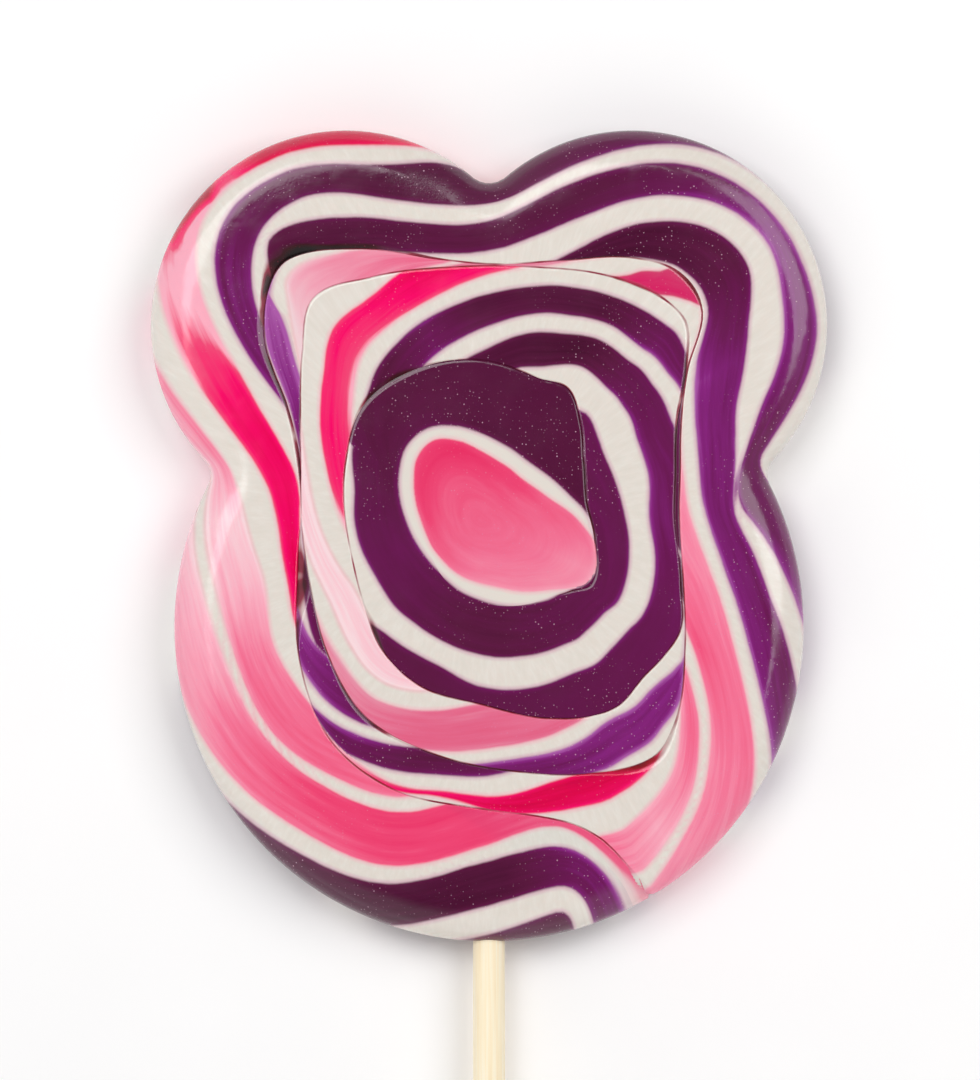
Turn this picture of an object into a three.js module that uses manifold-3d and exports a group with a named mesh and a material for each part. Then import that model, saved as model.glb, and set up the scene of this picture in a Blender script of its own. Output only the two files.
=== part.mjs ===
// A flat boiled-sugar lollipop in the outline of a bear's head: one candy rope, wound into a coil and
// pressed in a mould, on a round wooden stick.  It lies on its back.
// Millimetres, +Z up.  The origin is the centre of the head's circle, on the flat back of the candy;
// the ears point along +Y and the stick along -Y.
import * as THREE from "three";
import { mergeVertices } from "three/addons/utils/BufferGeometryUtils.js";
import Module from "manifold-3d";

const wasm = await Module();
wasm.setup();

// ---- driving dimensions, mm -------------------------------------------------------------------
const thickness = 11;                        // candy, back face to front face

const headRadius = 44.2;                     // the big lower circle of the outline
const earRadius = 27.4;
const earCentre = { x: 20.1, y: 42.35 };     // the right ear, the left one mirrors it
const neckFillet = 3;                        // inside corners between the head and the ears
const crownFillet = 3.6;                     // inside corner between the two ears

const frontRound = { inward: 5.6, down: 4.6 };   // rounding of the front edge
const backRound = { inward: 3.4, down: 2.8 };    // rounding of the back edge
const roundSteps = 5;                            // facets in each rounding

const coilHeart = { x: -1.3, y: 15 };        // the point the rope is wound around
const seamWidth = 0.9;                       // V groove between two turns, at the surface
const seamDepth = 0.8;
const seamStep = 7;                          // most degrees of winding between groove sections
const seamFacet = 3;                         // longest stretch between groove sections
const endNotch = { width: 1.4, depth: 1.6 }; // where the rope's outer end meets the next turn

const stickRadius = 2.25;
const stickLength = 150;
const stickInside = 40;                      // how far the stick runs up into the candy
const stickChamfer = 0.3;
const stickFacets = 32;
const fitGap = 0.3;                          // clearance between the stick and its socket

// The seam between neighbouring turns, as [degrees wound clockwise from +X, distance from the heart].
// Pressing in the square-shouldered mould gave each turn its flat sides and tight corners.
const seamKnots = [
  [425, 57.3], [429, 48.0], [436, 43.2], [450, 40.4], [468, 39.6], [484, 37.3], [501, 32.3],
  [519, 27.3], [534, 25.4], [547, 25.1], [560, 27.0], [571, 31.6], [580, 39.3], [588, 44.1],
  [594, 45.3], [606, 41.6], [620, 37.2], [634, 35.9], [648, 38.2], [660, 42.4], [669, 44.5],
  [677, 42.6], [684, 36.0], [694, 31.4], [707, 28.8], [721, 28.0], [737, 29.8], [752, 33.9],
  [766, 39.4], [774, 41.2], [787, 38.6], [803, 35.4], [822, 33.3], [840, 31.9], [858, 28.5],
  [876, 25.7], [896, 24.9], [916, 26.1], [931, 29.3], [943, 34.0], [953, 38.8], [966, 37.2],
  [984, 35.6], [1002, 36.2], [1020, 38.9], [1035, 40.2], [1043, 36.2], [1054, 30.7], [1067, 28.1],
  [1081, 27.3], [1098, 29.6], [1117, 34.7], [1133, 32.8], [1150, 29.6], [1169, 25.9], [1190, 24.7],
  [1206, 22.9], [1222, 20.3], [1242, 18.7], [1262, 18.9], [1284, 20.5], [1304, 22.8], [1326, 22.9],
  [1348, 22.5], [1372, 21.5], [1384, 22.2], [1396, 19.6], [1410, 16.8], [1430, 15.2], [1450, 16.4],
  [1470, 18.1], [1478, 16.2], [1488, 14.6],
];

// ---- helpers ----------------------------------------------------------------------------------
function toSolid(geometry) {
  geometry.deleteAttribute("normal");
  geometry.deleteAttribute("uv");
  const merged = mergeVertices(geometry, 1e-4);
  const vertProperties = new Float32Array(merged.attributes.position.array);
  const triVerts = new Uint32Array(merged.index.array);
  return new wasm.Manifold(new wasm.Mesh({ numProp: 3, vertProperties, triVerts }));
}

function toGeometry(solid) {
  const mesh = solid.getMesh();
  const geometry = new THREE.BufferGeometry();
  geometry.setAttribute("position", new THREE.BufferAttribute(new Float32Array(mesh.vertProperties), 3));
  geometry.setIndex(new THREE.BufferAttribute(new Uint32Array(mesh.triVerts), 1));
  geometry.computeVertexNormals();
  return geometry;
}

function namedMesh(name, geometry, material) {
  const mesh = new THREE.Mesh(geometry, new THREE.MeshStandardMaterial(material));
  mesh.name = name;
  return mesh;
}

// The flat end of a loft: a triangular section may stand upright, a wider one is level.
function endFaces(ring) {
  return ring.length === 3 ? [[0, 1, 2]] : THREE.ShapeUtils.triangulateShape(ring, []);
}

// Joins rings of equally many points into one closed body with flat ends.  Each ring runs
// counter-clockwise about the way the loft travels.
function loft(rings) {
  const count = rings[0].length;
  const positions = rings.flat().flatMap((point) => [point.x, point.y, point.z]);
  const index = [];
  for (let ring = 0; ring < rings.length - 1; ring += 1) {
    for (let i = 0; i < count; i += 1) {
      const low = ring * count + i;
      const lowNext = ring * count + (i + 1) % count;
      index.push(low, lowNext, lowNext + count, low, lowNext + count, low + count);
    }
  }
  const top = (rings.length - 1) * count;
  for (const [a, b, c] of endFaces(rings[0])) {
    index.push(c, b, a);
  }
  for (const [a, b, c] of endFaces(rings[rings.length - 1])) {
    index.push(top + a, top + b, top + c);
  }
  const geometry = new THREE.BufferGeometry();
  geometry.setAttribute("position", new THREE.Float32BufferAttribute(positions, 3));
  geometry.setIndex(index);
  return geometry;
}

// ---- the bear outline -------------------------------------------------------------------------
// Centre of the circle of radius `fillet` that touches two circles from outside, on their right side
// when looking from the first centre to the second.
function filletCentre(first, firstRadius, second, secondRadius, fillet) {
  const a = firstRadius + fillet;
  const b = secondRadius + fillet;
  const between = new THREE.Vector2(second.x - first.x, second.y - first.y);
  const distance = between.length();
  const along = (a * a - b * b + distance * distance) / (2 * distance);
  const aside = Math.sqrt(a * a - along * along);
  const unit = between.normalize();
  return new THREE.Vector2(
    first.x + unit.x * along + unit.y * aside,
    first.y + unit.y * along - unit.x * aside,
  );
}

const headCentre = new THREE.Vector2(0, 0);
const rightEar = new THREE.Vector2(earCentre.x, earCentre.y);
const leftEar = new THREE.Vector2(-earCentre.x, earCentre.y);
const rightNeck = filletCentre(headCentre, headRadius, rightEar, earRadius, neckFillet);
const leftNeck = new THREE.Vector2(-rightNeck.x, rightNeck.y);
const crownReach = earRadius + crownFillet;
const crown = new THREE.Vector2(0, earCentre.y + Math.sqrt(crownReach ** 2 - earCentre.x ** 2));

function bearing(from, to) {
  return Math.atan2(to.y - from.y, to.x - from.x);
}

// Points along one arc, without its last point.  A fillet bulges into the candy, so it runs clockwise
// and grows as the outline is drawn further in.
function arcPoints(centre, radius, start, end, turn, steps) {
  const full = Math.PI * 2;
  const swept = (((end - start) * turn) % full + full) % full;
  return Array.from({ length: steps }, (_, i) => {
    const angle = start + turn * swept * i / steps;
    return new THREE.Vector2(centre.x + radius * Math.cos(angle), centre.y + radius * Math.sin(angle));
  });
}

function bearOutline(inset) {
  const head = headRadius - inset;
  const ear = earRadius - inset;
  const neck = neckFillet + inset;
  const notch = crownFillet + inset;
  return [
    ...arcPoints(headCentre, head, bearing(headCentre, leftNeck), bearing(headCentre, rightNeck), 1, 48),
    ...arcPoints(rightNeck, neck, bearing(rightNeck, headCentre), bearing(rightNeck, rightEar), -1, 4),
    ...arcPoints(rightEar, ear, bearing(rightEar, rightNeck), bearing(rightEar, crown), 1, 28),
    ...arcPoints(crown, notch, bearing(crown, rightEar), bearing(crown, leftEar), -1, 4),
    ...arcPoints(leftEar, ear, bearing(leftEar, crown), bearing(leftEar, leftNeck), 1, 28),
    ...arcPoints(leftNeck, neck, bearing(leftNeck, leftEar), bearing(leftNeck, headCentre), -1, 4),
  ];
}

// ---- the pressed candy ------------------------------------------------------------------------
// [inset, height] down the section of the candy's edge, from the back face to the front face.
function edgeSection() {
  const section = [];
  for (let i = 0; i <= roundSteps; i += 1) {
    const angle = Math.PI / 2 * i / roundSteps;
    section.push([backRound.inward * (1 - Math.sin(angle)), backRound.down * (1 - Math.cos(angle))]);
  }
  for (let i = 0; i <= roundSteps; i += 1) {
    const angle = Math.PI / 2 * i / roundSteps;
    const drop = frontRound.down * (1 - Math.sin(angle));
    section.push([frontRound.inward * (1 - Math.cos(angle)), thickness - drop]);
  }
  return section;
}

function candyBlank() {
  const rings = edgeSection().map(([inset, height]) =>
    bearOutline(inset).map((point) => new THREE.Vector3(point.x, point.y, height)));
  return toSolid(loft(rings));
}

// Distance of the seam from the heart, by a smooth curve through the knots.
function seamRadius(winding) {
  const last = seamKnots.length - 1;
  const found = seamKnots.findIndex(([angle]) => angle > winding);
  const i = found < 0 ? last - 1 : Math.max(found - 1, 0);
  const slope = (k) => {
    const before = seamKnots[Math.max(k - 1, 0)];
    const after = seamKnots[Math.min(k + 1, last)];
    return (after[1] - before[1]) / (after[0] - before[0]);
  };
  const span = seamKnots[i + 1][0] - seamKnots[i][0];
  const t = (winding - seamKnots[i][0]) / span;
  const fade = t * t * (3 - 2 * t);
  return seamKnots[i][1] * (1 - fade) + seamKnots[i + 1][1] * fade
    + span * t * (1 - t) * (slope(i) * (1 - t) - slope(i + 1) * t);
}

function seamPoint(winding) {
  const angle = -THREE.MathUtils.degToRad(winding);
  const radius = seamRadius(winding);
  return new THREE.Vector2(
    coilHeart.x + radius * Math.cos(angle),
    coilHeart.y + radius * Math.sin(angle),
  );
}

const faces = [
  { height: thickness, into: -1, round: frontRound },
  { height: 0, into: 1, round: backRound },
];

// Height of the candy's surface at a distance inside its rim.
function surfaceHeight(face, inset) {
  const onRound = Math.max(1 - inset / face.round.inward, 0);
  return face.height + face.into * face.round.down * (1 - Math.sqrt(1 - onRound ** 2));
}

// Winding angles from one end of a stretch of seam to the other, closer together where it runs fast.
function seamStations(from, to) {
  const stations = [];
  let winding = from;
  while (winding < to) {
    stations.push(winding);
    const chord = seamPoint(winding).distanceTo(seamPoint(winding + seamStep));
    winding += seamStep * Math.min(1, seamFacet / chord);
  }
  return [...stations, to];
}

// A V-shaped bar that follows a stretch of the seam, its point below the surface of one face and its
// open side just clear of that face.
function seamCutter(face, from, to) {
  const mouth = face.height - face.into * 0.4;
  const rimDistance = seamKnots[0][1];
  const sections = seamStations(from, to).map((winding) => {
    const here = seamPoint(winding);
    const forward = seamPoint(winding + 0.5).sub(seamPoint(winding - 0.5)).normalize();
    const floor = surfaceHeight(face, rimDistance - seamRadius(winding)) + face.into * seamDepth;
    const halfMouth = seamWidth / 2 * Math.abs(mouth - floor) / seamDepth;
    const left = new THREE.Vector2(-forward.y, forward.x).multiplyScalar(halfMouth);
    const corners = [
      new THREE.Vector3(here.x + left.x, here.y + left.y, mouth),
      new THREE.Vector3(here.x - left.x, here.y - left.y, mouth),
      new THREE.Vector3(here.x, here.y, floor),
    ];
    return face.into < 0 ? corners : corners.reverse();
  });
  return toSolid(loft(sections));
}

function cutSeams(candy) {
  const turnEnds = [426, 785, 1130, 1488];
  let cut = candy;
  for (const face of faces) {
    for (let turn = 0; turn < turnEnds.length - 1; turn += 1) {
      cut = cut.subtract(seamCutter(face, turnEnds[turn], turnEnds[turn + 1]));
    }
  }
  return cut;
}

// A wedge standing through the whole edge where the rope's outer end lies against the next turn.
function endWedge() {
  const rim = seamPoint(seamKnots[0][0]);
  const inward = seamPoint(seamKnots[1][0]).sub(rim).normalize();
  const across = new THREE.Vector2(-inward.y, inward.x);
  const tip = rim.clone().addScaledVector(inward, endNotch.depth);
  const mouth = rim.clone().addScaledVector(inward, -endNotch.depth);
  const corners = [
    tip,
    mouth.clone().addScaledVector(across, endNotch.width / 2),
    mouth.clone().addScaledVector(across, -endNotch.width / 2),
  ];
  const ring = (height) => corners.map((corner) => new THREE.Vector3(corner.x, corner.y, height));
  return toSolid(loft([ring(-1), ring(thickness + 1)]));
}

// ---- the stick --------------------------------------------------------------------------------
const stickTop = -headRadius + stickInside;
const stickHeight = thickness / 2;

// A rod along Y at the middle of the candy's thickness, with chamfered ends.
function rod(radius, top, length, chamfer) {
  const bottom = -length;
  const profile = [
    new THREE.Vector2(0, 0),
    new THREE.Vector2(radius - chamfer, 0),
    new THREE.Vector2(radius, -chamfer),
    new THREE.Vector2(radius, bottom + chamfer),
    new THREE.Vector2(radius - chamfer, bottom),
    new THREE.Vector2(0, bottom),
  ].reverse();
  const geometry = new THREE.LatheGeometry(profile, stickFacets);
  geometry.translate(0, top, 0);
  geometry.translate(0, 0, stickHeight);
  return geometry;
}

function stickSocket() {
  const beyond = stickInside + 10;
  return toSolid(rod(stickRadius + fitGap, stickTop + fitGap, beyond, stickChamfer));
}

// ---- assembly ---------------------------------------------------------------------------------
function candyGeometry() {
  const pressed = cutSeams(candyBlank()).subtract(endWedge());
  return toGeometry(pressed.subtract(stickSocket()));
}

const lollipop = new THREE.Group();
lollipop.add(namedMesh("candy", candyGeometry(), { color: 0xd8326f, roughness: 0.18, metalness: 0 }));
lollipop.add(namedMesh("stick", rod(stickRadius, stickTop, stickLength, stickChamfer),
  { color: 0xf2dfb4, roughness: 0.6, metalness: 0 }));

export default lollipop;
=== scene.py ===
"""A bear-shaped lollipop: one twisted rope of boiled sugar, wound flat and pressed, on a wooden stick."""

import math

import bpy
import numpy as np
from bpy.props import FloatProperty, FloatVectorProperty, IntProperty, PointerProperty
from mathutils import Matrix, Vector


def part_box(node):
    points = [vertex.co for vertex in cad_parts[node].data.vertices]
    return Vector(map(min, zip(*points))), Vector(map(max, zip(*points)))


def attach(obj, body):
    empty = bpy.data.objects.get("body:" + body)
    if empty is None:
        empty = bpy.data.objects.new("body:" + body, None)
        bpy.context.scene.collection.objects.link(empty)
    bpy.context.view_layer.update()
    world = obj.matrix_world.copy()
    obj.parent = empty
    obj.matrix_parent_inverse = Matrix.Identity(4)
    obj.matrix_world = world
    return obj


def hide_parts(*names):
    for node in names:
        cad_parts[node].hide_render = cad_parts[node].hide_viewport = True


bl_info = {
    "name": "Bear Lollipop",
    "version": (1, 0, 0),
    "blender": (4, 5, 0),
    "location": "View3D > Sidebar > Lollipop",
    "description": "Builds a coiled sugar lollipop on its stick, with a plain studio round it",
    "category": "Object",
}

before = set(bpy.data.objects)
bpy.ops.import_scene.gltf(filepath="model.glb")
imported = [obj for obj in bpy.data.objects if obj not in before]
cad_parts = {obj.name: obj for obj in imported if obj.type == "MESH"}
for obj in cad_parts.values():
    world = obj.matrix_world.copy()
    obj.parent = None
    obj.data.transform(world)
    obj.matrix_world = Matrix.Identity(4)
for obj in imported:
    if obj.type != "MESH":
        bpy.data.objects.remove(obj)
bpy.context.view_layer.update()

# Shapes are worked out in millimetres, and turned to metres when their meshes are made.
MM = 0.001
CANDY_LOW, CANDY_HIGH = (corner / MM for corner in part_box("candy"))
STICK_LOW, STICK_HIGH = (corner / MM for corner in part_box("stick"))

# ---- the pressed outline, mm ----
HEAD_RADIUS = 44.2                       # the big lower circle, centred on the frame's origin
EAR_RADIUS = 27.4
EAR_X = CANDY_HIGH.x - EAR_RADIUS        # the ears reach the sides and the top of the candy's box
EAR_Y = CANDY_HIGH.y - EAR_RADIUS
NECK_FILLET = 3.0                        # inside corners between the head and the ears
CROWN_FILLET = 3.6                       # inside corner between the two ears
FILLET_REACH = 12.0                      # how far into the candy a fillet shapes the rounded edge
FRONT_ROUND = (5.6, 4.6)                 # rounding of the front edge: across the face, down the side
BACK_ROUND = (3.4, 2.8)
PILLOW_REACH = 9.0                       # inside the rim, from where both faces fall away very gently
PILLOW_DROP = 0.25
PILLOW_TOWARDS = (-0.45, 0.89)           # and only towards this side, where the mould pressed deeper
PILLOW_FROM = (-5.0, 15.0)               # that way, over which it sets in
RIM_BETWEEN = (20.0, 75.0)               # mm from the heart, between which the rim is looked for
HALVINGS = 40                            # of that stretch, to find it
WALL_TOP = CANDY_HIGH.z - FRONT_ROUND[1]
WALL_FOOT = CANDY_LOW.z + BACK_ROUND[1]
WALL_ROWS = 3                            # rows of faces down the upright side
WALL_SHARE = 0.18                        # the upright side's height, as a share of the rope's width

# ---- the coil: winding is in degrees clockwise from +X and goes on counting turn after turn ----
HEART = (-1.3, 15.0)                     # the point the rope is wound round
TURN = 360
ROPE_START = 65                          # the rope's outer end, at the lower right of the rim
SEAM_START = ROPE_START + TURN
SEAM_END = 1488                          # the last fold closes here, beside the heart
HEART_WINDING = 1740                     # from there an unseen line carries the grid on to the heart
RIM_TO_SEAM = (412, 462)                 # the rope's outer side goes over from the rim to the seam
# The seam between neighbouring turns, as (winding, distance from the heart in mm).
SEAM_KNOTS = (
    (425, 57.3), (429, 48.0), (436, 43.2), (450, 40.4), (468, 39.6), (484, 37.3), (501, 32.3),
    (519, 27.3), (534, 25.4), (547, 25.1), (560, 27.0), (571, 31.6), (580, 39.3), (588, 44.1),
    (594, 45.3), (606, 41.6), (620, 37.2), (634, 35.9), (648, 38.2), (660, 42.4), (669, 44.5),
    (677, 42.6), (684, 36.0), (694, 31.4), (707, 28.8), (721, 28.0), (737, 29.8), (752, 33.9),
    (766, 39.4), (774, 41.2), (787, 38.6), (803, 35.4), (822, 33.3), (840, 31.9), (858, 28.5),
    (876, 25.7), (896, 24.9), (916, 26.1), (931, 29.3), (943, 34.0), (953, 38.8), (966, 37.2),
    (984, 35.6), (1002, 36.2), (1020, 38.9), (1035, 40.2), (1043, 36.2), (1054, 30.7), (1067, 28.1),
    (1081, 27.3), (1098, 29.6), (1108, 32.0), (1116, 32.1), (1124, 31.8), (1133, 32.5), (1141, 31.5),
    (1150, 29.6), (1169, 25.9), (1190, 24.7), (1206, 22.9), (1222, 20.3), (1242, 18.7), (1262, 18.9),
    (1284, 20.5), (1304, 22.8), (1326, 22.9), (1348, 22.5), (1372, 21.5), (1384, 22.2), (1396, 19.6),
    (1410, 16.8), (1430, 15.2), (1450, 16.4), (1470, 18.1), (1478, 16.2), (SEAM_END, 14.6),
)
HEART_KNOTS = ((1530, 11.5), (1590, 8.0), (1650, 4.9), (1710, 1.8), (HEART_WINDING, 0.0))
BEND_SPREAD = 8                          # degrees over which the strands soften the outline's bends
BEND_DEPTH = 0.45                        # share of the rope's width over which they soften
LEAST_ROPE = 0.05                        # mm, the narrowest that the rope counts as
LEAST_RADIUS = 0.5                       # mm from the heart, the least that a line's lean is found with
EVEN_SHARE = 0.5                         # how much the grid's rows even out, away from the rim
EVEN_REACH = 40                          # degrees over which they do
END_NOTCH = 1.1                          # mm the rim is drawn in where the rope's outer end joins it

# ---- the strands: twelve lie side by side round the rope and turn with its twist ----
# Going round the rope: plum, plum, plum, pink, pink, red, each with a white strand after it.  The
# strands are numbered on and on along the rope, and the even ones are the coloured ones.
STRANDS = 12
FIRST_PINK = 6
FIRST_RED = 10

# Where each strand's edge crosses the rope: (number of the strand that ends there, winding of the
# first station, depths at stations 15 degrees apart).  Depth is 0 at the rope's outer side and 1 at
# its inner side.
STATION = 15
EDGE_ROWS = (
    (2, 60, (.20, .215, .035, -.20)),
    (3, 60, (.40, .41, .245, -.06, -.34)),
    (4, 60, (.76, .76, .58, .285, .14, -.04, -.20)),
    (5, 60, (.95, .94, .695, .42, .30, .12, -.01, -.10)),
    (6, 90, (1.12, .85, .70, .52, .39, .22, .0, -.15)),
    (7, 90, (1.3, .97, .80, .58, .47, .33, .12, -.05)),
    (8, 120, (1.15, .95, .78, .70, .49, .27, -.12)),
    (9, 135, (1.2, .98, .88, .77, .58, .17, -.20)),
    (10, 165, (1.02, .98, .93, .68, .17, .10, .09, -.15)),
    (11, 195, (1.3, .97, .37, .23, .24, -.06, -.30)),
    (12, 210, (1.6, .85, .49, .53, .43, .21, .03, -.05, -.08)),
    (16, 300, (.98, .93, .90, .83, .73, .585, .325, -.20)),
    (17, 315, (1.05, 1.0, .96, .87, .715, .48, .02, -.40)),
    (18, 375, (1.25, .93, .555, .17, -.20)),
    (19, 375, (1.35, 1.10, .69, .28, .0)),
    (20, 390, (1.2, .93, .60, .35)),
    (21, 405, (1.1, .82, .62, .30, .0)),
    (22, 420, (1.05, .90, .50, .12, .05, -.10)),
    (23, 435, (1.15, .80, .43, .05, -.40)),
    (24, 450, (1.4, .98, .54, -.15)),
    (25, 465, (1.3, .80, .20, -.45)),
    (26, 495, (1.1, .30, -.50)),
    (41, 780, (1.0, .56, .22, -.07)),
    (42, 810, (.97, .63, .31, .15, -.05)),
    (43, 825, (1.0, .64, .45, .33, .10, -.10)),
    (44, 840, (1.05, .95, .85, .55, .30, .10, -.10)),
    (45, 915, (.6, .36, .3, .2, -.1)),
    (46, 930, (1.05, .77, .53, .32, .07, -.1)),
    (47, 945, (.95, .72, .48, .27, .12, .1, .06, -.25)),
    (48, 960, (1.1, .87, .63, .40, .34, .29, -.1)),
    (49, 975, (1.1, .86, .58, .49, .41, .07, -.3)),
    (50, 1005, (.92, .77, .66, .42, .25, .25, .25, .36, .31, .30)),
    (51, 1035, (.88, .75, .60, .52, .55, .63, .55, .55)),
    (52, 1080, (1.2, 1.15, 1.07, .94, .95)),
)
# Where an edge bends sharply, or a strand squeezed in a tight corner ends nearly square across the rope,
# it is given as (winding, depth) pairs.
SQUARE_ROWS = (
    (13, ((215, 1.60), (224, 1.12), (229, .99), (231, .84), (233, .73), (237, .69), (255, .70), (270, .60),
          (285, .35), (300, .17), (315, .10), (330, .05), (337, .09), (341, .15), (345, .21), (348, .22),
          (352, .0), (360, -.45))),
    (14, ((240, 1.05), (255, .97), (270, .88), (285, .70), (300, .43), (315, .27), (328, .27), (334, .33),
          (338, .39), (345, .43), (352, .452), (357, .41), (364, .23), (375, .04), (390, -.22))),
    (15, ((270, 1.25), (285, 1.0), (300, .66), (315, .48), (328, .53), (336, .575), (342, .545),
          (347, .50), (351, .478), (359, .467), (367, .355), (375, .253), (390, -.05), (405, -.35))),
    (27, ((521, .35), (527, .65), (530, .90))),
    (28, ((580, .87), (584, .60), (586, .35), (587, .05))),
    (29, ((583, .85), (586, .70), (589, .50), (591, .30), (601, .15), (604, .05))),
    (30, ((618, .90), (622, .50), (624, .0))),
    (31, ((621, .90), (625, .50), (627, .0))),
    (32, ((642, .90), (646, .50), (650, .0))),
    (33, ((659, .90), (661, .70), (663, .40), (666, .20), (667, .0))),
    (34, ((669, .90), (671, .70), (673, .50), (675, .20), (676, .0))),
    (35, ((685, 1.0), (692, .0))),
    (36, ((728, 1.0), (730, .0))),
    (37, ((729, 1.0), (731, .0))),
    (38, ((741, 1.0), (743, .0))),
    (39, ((741, 1.0), (743, .0), (760, -.05), (765, .05), (769, .15), (777, .16), (783, .0))),
    (40, ((741, 1.0), (743, .0), (754, .05), (757, .35), (762, .62), (769, .75), (777, .82), (787, .50),
          (795, .31), (810, .0), (825, -.30))),
)
# Inside the last fold the strands run round the heart: (number, first station, radii in mm).
HEART_TURN = 1128
HEART_JOIN = 12                          # degrees over which the rows go over from depths to radii
BACK_TURNS = (960, HEART_TURN)           # from here to there the back comes to show the front's strands
OVAL_STRAND = 54                         # the pink oval in the middle
HEART_ROWS = (
    (50, 1125, (26.7, 26.0, 25.3, 24.0, 22.0, 21.4, 21.6, 24.0)),
    (51, 1125, (22.6, 21.9, 20.8, 19.7, 18.7, 18.0, 17.7, 17.3, 17.7, 18.3, 19.0, 21.5)),
    (52, 1125, (16.1, 14.6, 13.1, 11.8, 10.9, 10.1, 9.8, 9.8, 10.2, 11.0, 12.3, 13.9,
                15.5, 15.8, 14.7, 13.3, 12.3, 11.9, 11.8, 12.5, 13.9, 16.3, 17.4, 17.7)),
    (53, 1125, (13.9, 11.6, 9.8, 8.9, 8.4, 8.0, 7.7, 7.7, 7.8, 8.3, 9.3, 10.7,
                12.4, 12.9, 11.5, 9.8, 8.8, 8.4, 8.3, 9.0, 10.6, 13.8, 17.0, 17.4)),
)
ROPE_END_REACH = 13.0                    # degrees over which the strands fold round the rope's end
ROPE_END_WINDING = 79.7                  # winding up to which they do
STRAND_DRIFT = 0.018                     # depth a strand loses with each degree, where no station says
SPREAD_OUT = 1.0                         # mm per degree that a heart row moves out after its stations
EDGE_LIMIT = 3.0                         # depth kept for edges that aren't on the rope at that winding
EDGE_SPACING = 0.001                     # depth added from one edge to the next, to keep them in order
FIRST_EDGE = -4                          # from this edge to the last, all are worked out
LAST_EDGE = 57
START_EDGE = 2                           # the first strand edge that shows at the rope's outer end
START_SPACING = 0.3                      # depth from one to the next of the edges before it
LEAN_DEPTHS = (-0.3, 1.3)                # depths between which a strand edge's lean is worked out

# ---- the seams ----
# Openings along the seams, where two turns don't quite meet: (winding of the middle, reach in degrees,
# side, width in mm, depth in mm, painted shade).  The last three are added to the usual groove's, and
# the width only on that side of the seam: 1 is outside it, -1 inside.
OPENINGS = (
    (593, 9, 1, 2.1, .6, .60),
    (582, 14, 1, .8, .3, .50),
    (606, 17, 1, .8, .2, .30),
    (560, 20, 1, .35, .2, .30),
    (520, 17, -1, 1.7, .5, .60),
    (775, 13, 1, .9, .4, .40),
    (671, 7, -1, .35, .2, .30),
    (1024, 9, 1, .4, .2, .25),
    (1040, 8, 1, .2, .1, .0),
    (1050, 10, -1, .3, .1, .10),
    (1214, 10, -1, .7, .3, .30),
    (1316, 22, 1, .8, .15, .20),
    (840, 22, 1, .4, .2, .20),
    (1420, 45, 1, .0, .03, .20),
)
# The seams' folds get painted shade, over a darker tint of the sugar there.
GROOVE_REACH = 0.19                      # mm either side of the seam
GROOVE_DEPTH = 0.08
GROOVE_SHADE = 0.40                      # its darkness, from 0 to 1
DOME_REACH = 4.0                         # mm over which a turn's pressed face falls towards its seams
DOME_DROP = 0.05
GROOVE_CURVE = 1.3                       # above 1, the groove's sides are hollow
SEAM_FADES = (3, 12)                     # degrees over which the groove sets in and dies away
NO_SEAM = 60.0                           # mm, the distance given where there is no seam

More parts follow.
